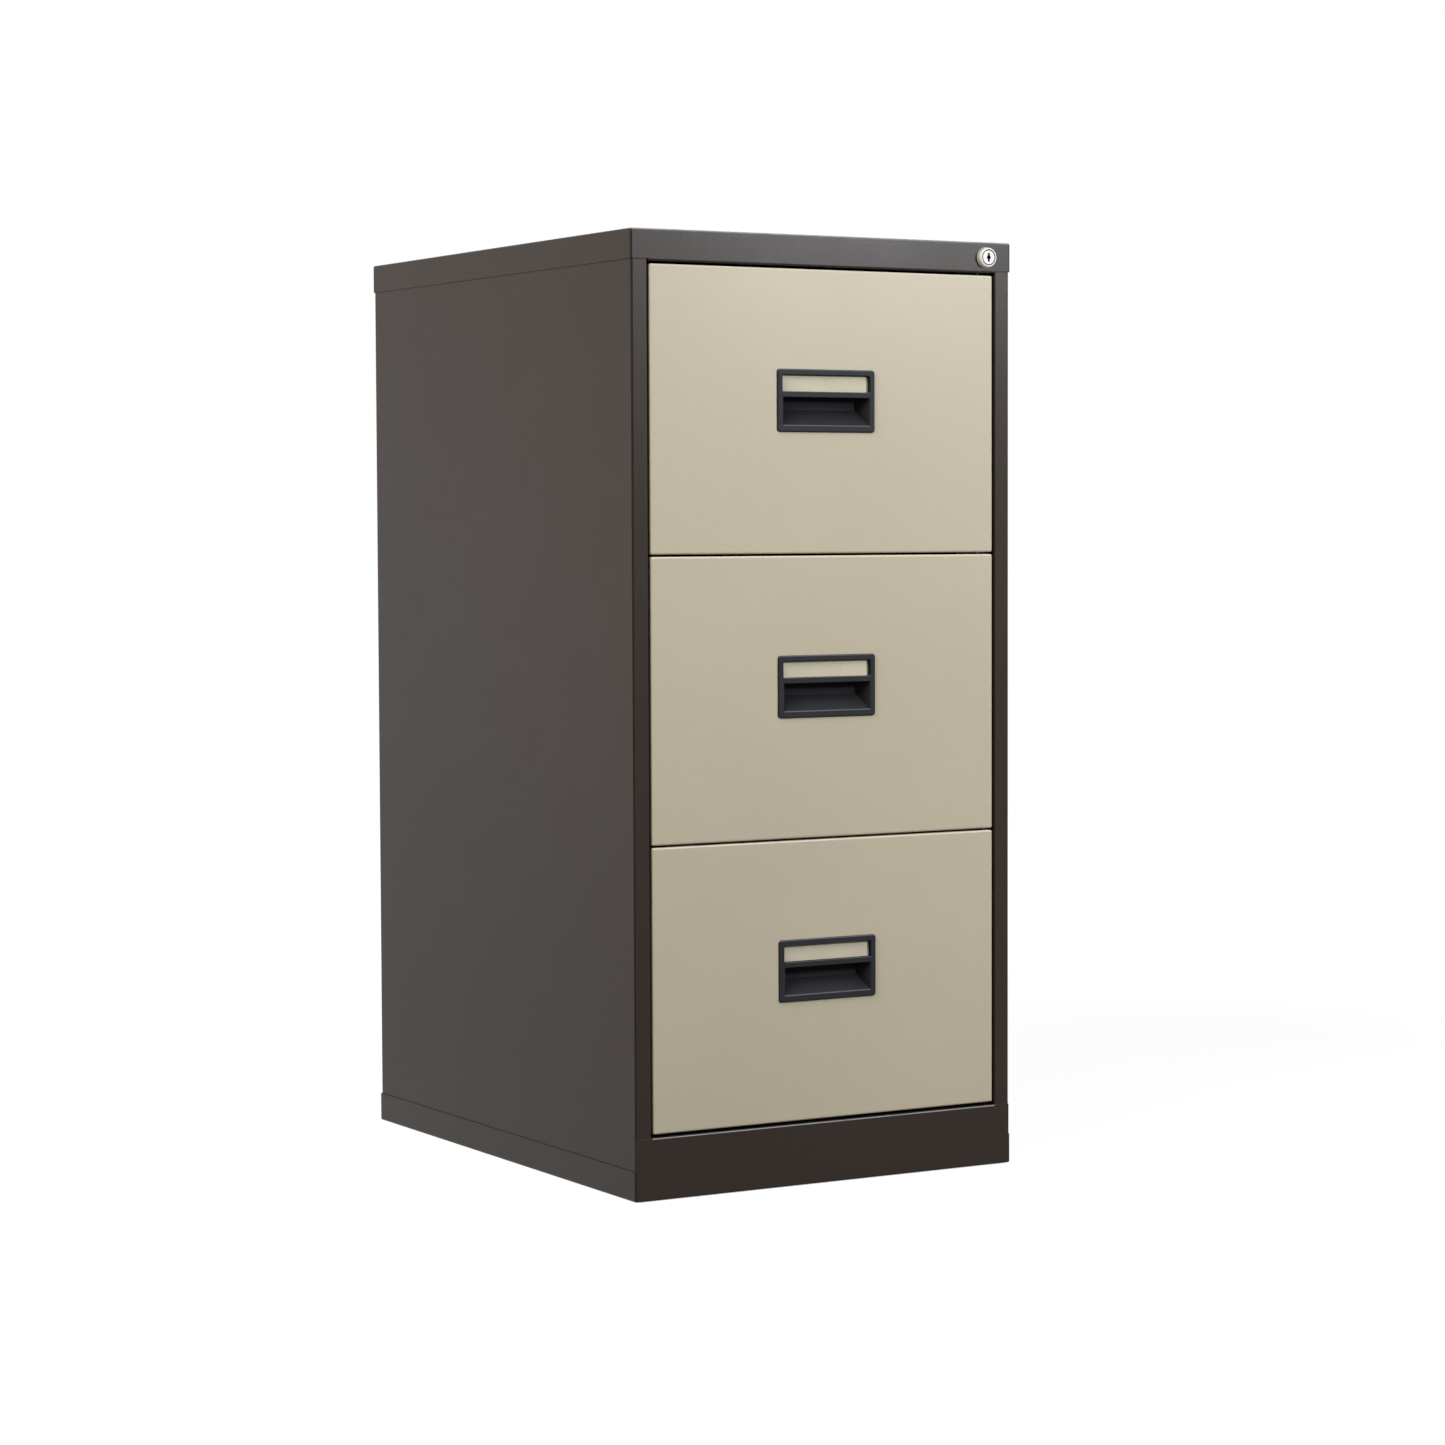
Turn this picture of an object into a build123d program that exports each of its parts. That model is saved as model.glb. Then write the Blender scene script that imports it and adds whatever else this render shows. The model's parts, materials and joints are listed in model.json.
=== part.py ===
from build123d import *
from math import cos, radians, sin
import os

# Metal filing cabinet with three full-extension drawers and a front cam lock.
# Millimetres. X runs left to right, Y front to back, Z up. The origin is on the
# floor, midway between the two sides and midway between the lock's face and the back.

# ---------------------------------------------------------------- driving sizes
# Case
WIDTH = 467.0
DEPTH = 625.0
HEIGHT = 1000.0
CAP_SHEET = 1.2          # top cap and base tray
PANEL_SHEET = 0.9        # side panels
BACK_SHEET = 0.8
FOLD_RADIUS = 2.0        # outside radius of every fold in the case
CAP_SKIRT = 31.0
LIP_RADIUS = 2.0         # fold under the front skirt, between the columns
LIP_DROP = 1.8           # that fold hangs below the skirt's ends
LIP_DEPTH = 12.0
BASE_SKIRT = 31.5
KICK_HEIGHT = 65.0
KICK_FOLD = 1.4          # outside radius of the fold on top of the kick
KICK_RETURN = 18.0
BASE_FLANGE = 15.0
COLUMN_WIDTH = 18.9      # face of the folded column beside the drawers
COLUMN_RETURN = 20.0
COLUMN_LIP = 8.0
REAR_FLANGE = 15.0
SHEET_GAP = 0.3          # between sheet edges that pass one another

# Uprights and cross rail
RAIL_SHEET = 1.5
UPRIGHT_DEPTH = 40.0
UPRIGHT_SETBACK = 0.7    # upright's face behind the column's inner edge
FRONT_UPRIGHT_GAP = 12.7  # column return to front upright, the lock bar's bay
REAR_UPRIGHT_GAP = 30.0  # rear upright to the back flange
SLOT_HEIGHT = 14.0
SLOT_WIDTH = 5.0
SLOT_PITCH = 24.0
SLOTS_PER_SLIDE = 3
CROSS_RAIL_DEPTH = 14.0

# Levelling feet and back fixings
GUSSET = 62.0
GUSSET_SHEET = 2.0
GUSSET_HEIGHT = 14.0
GLIDE_INSET = 34.0       # foot's axis from the outside of the case
GLIDE_RADIUS = 13.0
GLIDE_PAD = 5.0
PAD_ROUND = 1.5
STEM_RADIUS = 4.0
STEM_CLEARANCE = 0.3
STEM_TOP = 32.0
NUT_FLATS = 13.0
NUT_HEIGHT = 6.5
RIVET_RADIUS = 3.0
RIVET_DOME = 0.9
RIVET_ROUND = 0.5
RIVETS_PER_SIDE = 6
RIVET_END = 45.0         # first and last rivet from the cap and base skirts

# Drawers
DRAWERS = 3
SIDE_GAP = 2.4           # drawer front to column
DRAWER_GAP = 2.3         # between drawer fronts
TOP_GAP = 4.6            # top drawer to the ends of the cap's skirt
FOOT_GAP = 3.6           # bottom drawer to the kick
DRAWER_SHEET = 0.8
FRONT_DEPTH = 22.0
LINER_FLANGE = 5.0
BOX_FOOT = 12.0          # lower edge of the box above the front's lower edge
BOX_HEADROOM = 37.0      # top of the box below the front's upper edge
BOX_FLANGE = 12.0        # upright flanges of the sides
BOTTOM_FLANGE = 10.0     # turned down beside the bottom
BOX_REAR_GAP = 36.0      # back of the box to the back panel
HEM = 10.0
BACK_DROP = 30.0         # top of the drawer's back below its sides

# Slides: three nested channels with balls between them
SLIDE_SHEET = 1.2
SLIDE_BEND = 1.5         # outside radius of a fold in the slides, in sheets
SLIDE_THICKNESS = 12.7
SLIDE_HEIGHT = 45.0
SLIDE_TIP = 0.9          # flange tips to the drawer's side
SLIDE_RISE = 105.0       # slide's centre above the front's lower edge
BALL = 3.9
BALL_CLEARANCE = 0.1
BALLS_PER_ROW = 5
BALL_PITCH = 22.0
CAGE_SHEET = 0.6
CAGE_GAP = 0.4           # cage's web to the channels each side of it
CAGE_FLANGE = 7.0

# Handle with card frame
HANDLE_WIDTH = 120.0
HANDLE_HEIGHT = 65.9
HANDLE_DROP = 104.3      # top of the handle below the front's upper edge
HANDLE_PROUD = 2.0
HANDLE_CORNER = 3.5
HANDLE_ROUND = 1.6
HANDLE_LAP = 4.0
HANDLE_WALL = 2.0
HANDLE_BORDER = 6.2
WINDOW_HEIGHT = 17.4
WINDOW_CORNER = 1.5
BAR_HEIGHT = 5.8
POCKET_HEIGHT = 30.0
CARD_RECESS = 4.6
CARD_THICKNESS = 0.4
CARD_CLEARANCE = 0.3
TRAY_WALL = 1.5
CREASE_RISE = 17.0       # pocket's crease above its lip
CREASE_DEPTH = 15.0      # pocket's crease behind the handle's face
POCKET_DRAFT = 10.0      # inward taper of each pocket wall at the crease
POCKET_DEPTH = 19.0
POCKET_REACH = 18.0      # hidden finger space above the bar's underside
POCKET_STEP = 1.0        # front of that space behind the card tray
SHELL_LAP = 1.0          # pocket's walls run into the bezel
LIP_ROUND = 0.7
TAB_DEPTH = 4.0
TAB_HEIGHT = 10.0
TAB_LAP = 1.5

# Lock
LOCK_INSET = 32.0        # axis from the side of the case
LOCK_DROP = 16.5         # axis below the top of the case
LOCK_PROUD = 6.2
BEZEL_BASE = 11.4        # radius on the skirt
BEZEL_FACE = 10.0        # radius at the face
BEZEL_ROUND = 1.0
BARREL_RADIUS = 9.0
BARREL_LENGTH = 20.0
BARREL_CLEARANCE = 0.2
PLUG_RADIUS = 7.9
PLUG_HEAD = 8.0
SHAFT_RADIUS = 6.4
LOCK_FIT = 0.1
RING_CHAMFER = 0.6
KEYWAY_HEIGHT = 8.9
KEYWAY_WIDTH = 1.8
KEYWAY_EYE = 2.3
KEYWAY_DEPTH = 6.0
CLIP_SHEET = 1.2
CLIP_WIDTH = 21.0
CLIP_LEG = 6.0           # below the axis
CLIP_BRIDGE = 2.0        # above the barrel
CLIP_BITE = 1.2          # depth of the barrel's grooves
CAM_SHEET = 2.5
CAM_HUB = 8.0
CAM_END = 4.6
CRANK_RADIUS = 9.5
CRANK_PIN = 2.5
QUARTER_TURN = 90.0
PIN_PLAY = 0.6           # around the pin in the bar's slot
BAR_SHEET = 2.0
BAR_WIDTH = 12.0
BAR_GAP = 0.8            # lock bar to the cam in front and the catches behind
FITTING_SHEET = 1.5      # yoke and lugs welded behind the bar
BAR_SIDE = 1.6           # lock bar to the column's inner edge
SLOT_WALL = 2.5
LUG_REACH = 10.5         # beyond the bar
LUG_HEIGHT = 12.0
LUG_DROP = 3.0           # lug below its catch when unlocked
GUIDE_SHEET = 1.5
GUIDE_HEIGHT = 12.0
GUIDE_CLEARANCE = 0.4
GUIDE_RISE = 40.0        # each guide above the lug below it
CATCH_SHEET = 1.5
CATCH_HEIGHT = 22.0
CATCH_DROP = 16.0        # catch below the top of the box
CATCH_FLANGE = 22.0

# ---------------------------------------------------------------- derived places
HALF = WIDTH / 2
FRONT = (LOCK_PROUD - DEPTH) / 2
BACK = FRONT + DEPTH
SIDE = HALF - CAP_SHEET                 # outside of the side panels
PANEL_FRONT = FRONT + CAP_SHEET         # face of the columns and drawers
PANEL_BACK = BACK - CAP_SHEET - BACK_SHEET
PANEL_TOP = HEIGHT - FOLD_RADIUS        # clear of the fold inside the cap
PANEL_FOOT = FOLD_RADIUS
OPENING = SIDE - COLUMN_WIDTH           # half the clear width between the columns
COLUMN_BACK = PANEL_FRONT + COLUMN_RETURN

UPRIGHT_FACE = OPENING - UPRIGHT_SETBACK
FRONT_UPRIGHT = COLUMN_BACK + FRONT_UPRIGHT_GAP
REAR_UPRIGHT = PANEL_BACK - PANEL_SHEET - REAR_UPRIGHT_GAP - UPRIGHT_DEPTH

FRONT_HALF = OPENING - SIDE_GAP
FRONTS_FOOT = KICK_HEIGHT + FOOT_GAP
FRONTS_TOP = HEIGHT - CAP_SKIRT - TOP_GAP
FRONT_HEIGHT = (FRONTS_TOP - FRONTS_FOOT - (DRAWERS - 1) * DRAWER_GAP) / DRAWERS
LINER_BACK = PANEL_FRONT + FRONT_DEPTH
BOX_HALF = UPRIGHT_FACE - SLIDE_THICKNESS
BOX_INNER = BOX_HALF - DRAWER_SHEET
BOX_BACK = PANEL_BACK - BOX_REAR_GAP
BOX_HEIGHT = FRONT_HEIGHT - BOX_FOOT - BOX_HEADROOM

SLIDE_FRONT = FRONT_UPRIGHT
SLIDE_LENGTH = REAR_UPRIGHT + UPRIGHT_DEPTH - SLIDE_FRONT
OUTER_HALF = SLIDE_HEIGHT / 2
BALL_SPACE = BALL + 2 * BALL_CLEARANCE
MIDDLE_HALF = OUTER_HALF - SLIDE_SHEET - BALL_SPACE
INNER_HALF = MIDDLE_HALF - SLIDE_SHEET - BALL_SPACE
WEB_SPACE = CAGE_SHEET + 2 * CAGE_GAP
MIDDLE_WEB = UPRIGHT_FACE - SLIDE_SHEET - WEB_SPACE
INNER_TIP = MIDDLE_WEB - SLIDE_SHEET - WEB_SPACE

LOCK_X = HALF - LOCK_INSET
LOCK_Z = HEIGHT - LOCK_DROP
BARREL_BACK = FRONT + BARREL_LENGTH
CAM_FRONT = COLUMN_BACK + BAR_GAP
CAM_BACK = CAM_FRONT + CAM_SHEET
BAR_FRONT = CAM_BACK + BAR_GAP
BAR_BACK = BAR_FRONT + BAR_SHEET
FITTING_BACK = BAR_BACK + FITTING_SHEET
CATCH_FRONT = FITTING_BACK + BAR_GAP
BAR_LEFT = OPENING + BAR_SIDE
BAR_RIGHT = BAR_LEFT + BAR_WIDTH
BAR_LIFT = 2 * CRANK_RADIUS * sin(radians(QUARTER_TURN / 2))


def front_foot(number):
    """Height of the lower edge of a drawer front; drawer 1 is the top one."""
    return FRONTS_FOOT + (DRAWERS - number) * (FRONT_HEIGHT + DRAWER_GAP)


def box_top(number):
    return box_foot(number) + BOX_HEIGHT


def box_foot(number):
    return front_foot(number) + BOX_FOOT


def catch_foot(number):
    return box_top(number) - CATCH_DROP - CATCH_HEIGHT


def lug_top(number):
    return catch_foot(number) - LUG_DROP


# ---------------------------------------------------------------- helpers
def span(x, y, z):
    """Box between two limits on each axis."""
    size = [abs(limit[1] - limit[0]) for limit in (x, y, z)]
    centre = [(limit[0] + limit[1]) / 2 for limit in (x, y, z)]
    return Pos(*centre) * Box(*size)


def polygon(points):
    return make_face(Polyline(*points, close=True))


def folded(points, sheet, radius=FOLD_RADIUS):
    """Section of a folded strip: its outer line runs through points, the sheet lies to its left."""
    outline = FilletPolyline(*points, radius=radius)
    return make_face(offset(outline, amount=sheet, side=Side.LEFT))


def upward(section, low, high):
    """Extrude a plan section, drawn in X and Y, between two heights."""
    return Pos(0, 0, low) * extrude(section, high - low)


def rearward(section, front, back):
    """Extrude a section drawn in X and Z from front to back."""
    return Pos(0, back, 0) * extrude(Plane.XZ * section, back - front)


def sideways(section, left, right):
    """Extrude a section drawn in Y and Z from left to right."""
    return Pos(left, 0, 0) * extrude(Plane.YZ * section, right - left)


def pan(width, length, depth, sheet, radius):
    """Tray folded from one sheet: its web is at the top and its walls hang down by depth."""
    hang = (Align.CENTER, Align.CENTER, Align.MAX)
    outer = Box(width, length, depth, align=hang)
    rim = outer.edges().filter_by(Axis.Z) + outer.faces().sort_by(Axis.Z)[-1].edges()
    outer = fillet(rim, radius)
    inner = Box(width - 2 * sheet, length - 2 * sheet, depth, align=hang)
    rim = inner.edges().filter_by(Axis.Z) + inner.faces().sort_by(Axis.Z)[-1].edges()
    inner = fillet(rim, radius - sheet)
    return outer - Pos(0, 0, -sheet) * inner


def mirrored(shape):
    """The same piece on the other side of the cabinet."""
    return mirror(shape, about=Plane.YZ)


def group(shapes):
    """Separate solids kept together in one sub-part."""
    return Compound(children=[solid for shape in shapes for solid in shape.solids()])


def forward_disc(radius, back, front):
    """Disc on the lock's axis between two depths."""
    depth = back - front
    return Pos(LOCK_X, (back + front) / 2, LOCK_Z) * Rot(X=90) * Cylinder(radius, depth)


def barrel_hole(back):
    """Clearance for the lock's barrel, from in front of the case to a depth."""
    return forward_disc(BARREL_RADIUS + BARREL_CLEARANCE, back + 1, FRONT - 1)


# ---------------------------------------------------------------- case
def top_cap():
    """Shallow lid whose front skirt is folded in under itself between the columns."""
    cap = Pos(0, FRONT + DEPTH / 2, HEIGHT) * pan(WIDTH, DEPTH, CAP_SKIRT, CAP_SHEET, FOLD_RADIUS)
    low = HEIGHT - CAP_SKIRT
    turn = low + 2 * LIP_RADIUS
    half = OPENING - SHEET_GAP
    cap -= span((-half, half), (FRONT - 1, PANEL_FRONT + 1), (low - 1, turn))
    lip = low - LIP_DROP
    outline = [(FRONT, turn), (FRONT, lip), (FRONT + LIP_DEPTH, lip)]
    cap += sideways(folded(outline, CAP_SHEET, LIP_RADIUS), -half, half)
    return cap - barrel_hole(FRONT + LIP_DEPTH)


def base_tray():
    """Ring of skirts with a tall kick at the front and a flange turned in underneath."""
    flange_hole = span(
        (-SIDE + BASE_FLANGE, SIDE - BASE_FLANGE),
        (PANEL_FRONT + BASE_FLANGE, BACK - CAP_SHEET - BASE_FLANGE),
        (-1, CAP_SHEET + 1),
    )
    upturned = Rot(X=180) * pan(WIDTH, DEPTH, KICK_HEIGHT, CAP_SHEET, FOLD_RADIUS)
    tray = Pos(0, FRONT + DEPTH / 2, 0) * upturned - flange_hole
    above_skirt = span(
        (-HALF - 1, HALF + 1), (FRONT + FOLD_RADIUS, BACK + 1), (BASE_SKIRT, KICK_HEIGHT + 1)
    )
    tray -= above_skirt
    for side in (-1, 1):
        tray -= span(
            (side * (HALF - FOLD_RADIUS), side * (HALF + 1)),
            (FRONT - 1, FRONT + FOLD_RADIUS),
            (BASE_SKIRT, KICK_HEIGHT + 1),
        )
    shelf_half = OPENING - SHEET_GAP
    kick_top = [
        (FRONT + KICK_RETURN, KICK_HEIGHT),
        (FRONT, KICK_HEIGHT),
        (FRONT, KICK_HEIGHT - 2 * KICK_FOLD),
    ]
    tray -= span(
        (-shelf_half, shelf_half),
        (FRONT - 1, PANEL_FRONT + 1),
        (KICK_HEIGHT - 2 * KICK_FOLD, KICK_HEIGHT + 1),
    )
    return tray + sideways(folded(kick_top, CAP_SHEET, KICK_FOLD), -shelf_half, shelf_half)


def side_panel():
    """Left side: one sheet with a box column at the front and a flange at the back."""
    column = -SIDE + COLUMN_WIDTH
    outline = [
        (-SIDE + REAR_FLANGE, PANEL_BACK),
        (-SIDE, PANEL_BACK),
        (-SIDE, PANEL_FRONT),
        (column, PANEL_FRONT),
        (column, COLUMN_BACK),
        (column - COLUMN_LIP, COLUMN_BACK),
    ]
    return upward(folded(outline, PANEL_SHEET), PANEL_FOOT, PANEL_TOP)


def back_panel():
    half = HALF - FOLD_RADIUS
    return span((-half, half), (PANEL_BACK, PANEL_BACK + BACK_SHEET), (PANEL_FOOT, PANEL_TOP))


def back_rivets():
    low, high = BASE_SKIRT + RIVET_END, HEIGHT - CAP_SKIRT - RIVET_END
    step = (high - low) / (RIVETS_PER_SIDE - 1)
    head = Cylinder(RIVET_RADIUS, RIVET_DOME, align=(Align.CENTER, Align.CENTER, Align.MIN))
    head = fillet(head.edges().sort_by(Axis.Z)[-1], RIVET_ROUND)
    face = PANEL_BACK + BACK_SHEET
    inset = SIDE - REAR_FLANGE / 2
    places = [(x, low + row * step) for x in (-inset, inset) for row in range(RIVETS_PER_SIDE)]
    return group([Pos(x, face, z) * Rot(X=-90) * head for x, z in places])


def upright(front, left=False):
    """Right-hand slotted channel, open towards the side panel."""
    inside = SIDE - PANEL_SHEET
    outline = [
        (inside, front + UPRIGHT_DEPTH),
        (UPRIGHT_FACE, front + UPRIGHT_DEPTH),
        (UPRIGHT_FACE, front),
        (inside, front),
    ]
    channel = upward(folded(outline, RAIL_SHEET), GUSSET_HEIGHT + GUSSET_SHEET, PANEL_TOP)
    middle = front + UPRIGHT_DEPTH / 2
    for number in range(1, DRAWERS + 1):
        first = front_foot(number) + SLIDE_RISE - SLOT_PITCH * (SLOTS_PER_SLIDE - 1) / 2
        for row in range(SLOTS_PER_SLIDE):
            height = first + row * SLOT_PITCH
            channel -= span(
                (UPRIGHT_FACE - 1, UPRIGHT_FACE + RAIL_SHEET + 1),
                (middle - SLOT_WIDTH / 2, middle + SLOT_WIDTH / 2),
                (height - SLOT_HEIGHT / 2, height + SLOT_HEIGHT / 2),
            )
    return mirrored(channel) if left else channel


def cross_rail():
    """Channel behind the cap's front skirt, between the two columns."""
    low = HEIGHT - CAP_SKIRT + LIP_RADIUS
    outline = [
        (PANEL_FRONT + CROSS_RAIL_DEPTH, PANEL_TOP),
        (PANEL_FRONT, PANEL_TOP),
        (PANEL_FRONT, low),
        (PANEL_FRONT + CROSS_RAIL_DEPTH, low),
    ]
    rail = sideways(folded(outline, RAIL_SHEET), -OPENING, OPENING)
    return rail - barrel_hole(PANEL_FRONT + CROSS_RAIL_DEPTH)


def foot_places():
    x = HALF - GLIDE_INSET
    return [(sx * x, y) for sx in (-1, 1) for y in (FRONT + GLIDE_INSET, BACK - GLIDE_INSET)]


def base_gussets():
    """Corner plates welded inside the base tray, one above each foot."""
    plates = []
    for x, y in foot_places():
        sx, sy = (1 if x > 0 else -1), (1 if y > 0 else -1)
        wall_x = sx * (SIDE - PANEL_SHEET)
        wall_y = PANEL_BACK - FOLD_RADIUS if sy > 0 else COLUMN_BACK
        plate = span(
            (wall_x, wall_x - sx * GUSSET),
            (wall_y, wall_y - sy * GUSSET),
            (GUSSET_HEIGHT, GUSSET_HEIGHT + GUSSET_SHEET),
        )
        hole = Pos(x, y, GUSSET_HEIGHT) * Cylinder(STEM_RADIUS + STEM_CLEARANCE, 4 * GUSSET_SHEET)
        plates.append(plate - hole)
    return plates


def glides():
    """Levelling feet: pad, threaded stem and a nut on each side of the gusset."""
    up = (Align.CENTER, Align.CENTER, Align.MIN)
    pad = Cylinder(GLIDE_RADIUS, GLIDE_PAD, align=up)
    pad = fillet(pad.edges().sort_by(Axis.Z)[-1], PAD_ROUND)
    stem = Pos(0, 0, GLIDE_PAD) * Cylinder(STEM_RADIUS, STEM_TOP - GLIDE_PAD, align=up)
    nut = extrude(RegularPolygon(NUT_FLATS / 2, 6, major_radius=False), NUT_HEIGHT)
    nuts = [Pos(0, 0, height) * nut for height in (GUSSET_HEIGHT - NUT_HEIGHT, GUSSET_HEIGHT + GUSSET_SHEET)]
    foot = pad + stem + nuts
    return group([Pos(x, y, 0) * foot for x, y in foot_places()])


# ---------------------------------------------------------------- slides
def channel(half_height, web, tip):
    """Section of a right-hand slide channel in X and Z; its flanges run from web to tip."""
    if tip < web:
        outline = [(tip, -half_height), (web, -half_height), (web, half_height), (tip, half_height)]
    else:
        outline = [(tip, half_height), (web, half_height), (web, -half_height), (tip, -half_height)]
    return folded(outline, SLIDE_SHEET, SLIDE_SHEET * SLIDE_BEND)


def both_sides(section, number):
    """A channel's section, drawn for the right, run along both sides of a drawer."""
    right = rearward(section, SLIDE_FRONT, SLIDE_FRONT + SLIDE_LENGTH)
    right = Pos(0, 0, slide_height(number)) * right
    return group([mirrored(right), right])


def slide_height(number):
    return front_foot(number) + SLIDE_RISE


def slide_outer(number):
    section = channel(OUTER_HALF, UPRIGHT_FACE, BOX_HALF + SLIDE_TIP)
    return both_sides(section, number)


def slide_middle(number):
    section = channel(MIDDLE_HALF, MIDDLE_WEB, BOX_HALF + SLIDE_TIP)
    return both_sides(section, number)


def slide_inner(number):
    section = channel(INNER_HALF, BOX_HALF, INNER_TIP)
    return both_sides(section, number)


def ball_cage(number, web, ball_height):
    """Retainer strip with a row of balls along each flange, on both sides of the drawer."""
    half = ball_height + CAGE_SHEET / 2
    tip = web - CAGE_FLANGE
    outline = [(tip, -half), (web, -half), (web, half), (tip, half)]
    section = folded(outline, CAGE_SHEET, CAGE_SHEET * SLIDE_BEND)
    middle = SLIDE_FRONT + SLIDE_LENGTH / 2
    half_length = BALLS_PER_ROW * BALL_PITCH / 2
    strip = rearward(section, middle - half_length, middle + half_length)
    ball_x = web - CAGE_SHEET - CAGE_FLANGE / 2
    balls = []
    for row in range(BALLS_PER_ROW):
        y = middle + (row - (BALLS_PER_ROW - 1) / 2) * BALL_PITCH
        for z in (-ball_height, ball_height):
            place = Pos(ball_x, y, z)
            strip -= place * Cylinder(BALL / 2 + BALL_CLEARANCE, 4 * CAGE_SHEET)
            balls.append(place * Sphere(BALL / 2))
    right = Pos(0, 0, slide_height(number)) * group([strip] + balls)
    return group([mirrored(right), right])


def cage_outer(number):
    web = UPRIGHT_FACE - SLIDE_SHEET - CAGE_GAP
    return ball_cage(number, web, OUTER_HALF - SLIDE_SHEET - BALL_SPACE / 2)


def cage_inner(number):
    web = MIDDLE_WEB - SLIDE_SHEET - CAGE_GAP
    return ball_cage(number, web, MIDDLE_HALF - SLIDE_SHEET - BALL_SPACE / 2)


# ---------------------------------------------------------------- drawers
def handle_foot(number):
    return front_foot(number) + FRONT_HEIGHT - HANDLE_DROP - HANDLE_HEIGHT


def drawer_front(number):
    """Pressed steel front with turned-back edges and an opening for the handle."""
    face = pan(2 * FRONT_HALF, FRONT_HEIGHT, FRONT_DEPTH, DRAWER_SHEET, FOLD_RADIUS)
    front = Pos(0, PANEL_FRONT, front_foot(number) + FRONT_HEIGHT / 2) * Rot(X=90) * face
    low = handle_foot(number)
    return front - span(
        (HANDLE_LAP - HANDLE_WIDTH / 2, HANDLE_WIDTH / 2 - HANDLE_LAP),
        (PANEL_FRONT - 1, PANEL_FRONT + 2 * FOLD_RADIUS),
        (low + HANDLE_LAP, low + HANDLE_HEIGHT - HANDLE_LAP),
    )


def drawer_liner(number):
    """Lid that closes the back of the front and carries the box."""
    width = 2 * (FRONT_HALF - DRAWER_SHEET)
    height = FRONT_HEIGHT - 2 * DRAWER_SHEET
    lid = Rot(X=-90) * pan(width, height, LINER_FLANGE, DRAWER_SHEET, FOLD_RADIUS - DRAWER_SHEET / 2)
    return Pos(0, LINER_BACK, front_foot(number) + FRONT_HEIGHT / 2) * lid


def drawer_side(number, left=False):
    """Right side of the box with flanges front and back and a hemmed top edge for file hooks."""
    outline = [
        (BOX_HALF - BOX_FLANGE, LINER_BACK),
        (BOX_HALF, LINER_BACK),
        (BOX_HALF, BOX_BACK),
        (BOX_HALF - BOX_FLANGE, BOX_BACK),
    ]
    low, high = box_foot(number), box_top(number)
    side = upward(folded(outline, DRAWER_SHEET), low, high)
    side += span(
        (BOX_INNER - DRAWER_SHEET, BOX_INNER),
        (LINER_BACK + BOX_FLANGE, BOX_BACK - BOX_FLANGE),
        (high - HEM, high),
    )
    return mirrored(side) if left else side


def drawer_bottom(number):
    """Floor of the box, its flanges turned down and welded to the sides."""
    low = box_foot(number)
    outline = [
        (BOX_INNER, low),
        (BOX_INNER, low + BOTTOM_FLANGE),
        (-BOX_INNER, low + BOTTOM_FLANGE),
        (-BOX_INNER, low),
    ]
    front = LINER_BACK + DRAWER_SHEET + FOLD_RADIUS
    back = BOX_BACK - DRAWER_SHEET - FOLD_RADIUS
    return rearward(folded(outline, DRAWER_SHEET), front, back)


def drawer_back(number):
    back = BOX_BACK - DRAWER_SHEET
    half = BOX_INNER - FOLD_RADIUS
    height = (box_foot(number), box_top(number) - BACK_DROP)
    return span((-half, half), (back - DRAWER_SHEET, back), height)


def pocket_profile():
    """Side view of the finger pocket: depth behind the front's face against height in the handle."""
    lip = HANDLE_HEIGHT - HANDLE_BORDER - WINDOW_HEIGHT - BAR_HEIGHT - POCKET_HEIGHT
    under_bar = lip + POCKET_HEIGHT
    behind_card = CARD_RECESS - HANDLE_PROUD + TRAY_WALL
    return [
        (-HANDLE_PROUD, lip),
        (CREASE_DEPTH - HANDLE_PROUD, lip + CREASE_RISE),
        (POCKET_DEPTH - HANDLE_PROUD, under_bar + POCKET_REACH),
        (behind_card + POCKET_STEP, under_bar + POCKET_REACH),
        (behind_card + POCKET_STEP, under_bar + BAR_HEIGHT),
        (behind_card - HANDLE_WALL, under_bar),
        (-HANDLE_PROUD, under_bar),
    ]


def window_block(clearance, front, back):
    """Fills the card window between two depths, with a clearance all round."""
    width = HANDLE_WIDTH - 2 * HANDLE_BORDER - 2 * clearance
    height = WINDOW_HEIGHT - 2 * clearance
    return rearward(RectangleRounded(width, height, WINDOW_CORNER - clearance), front, back)


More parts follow.
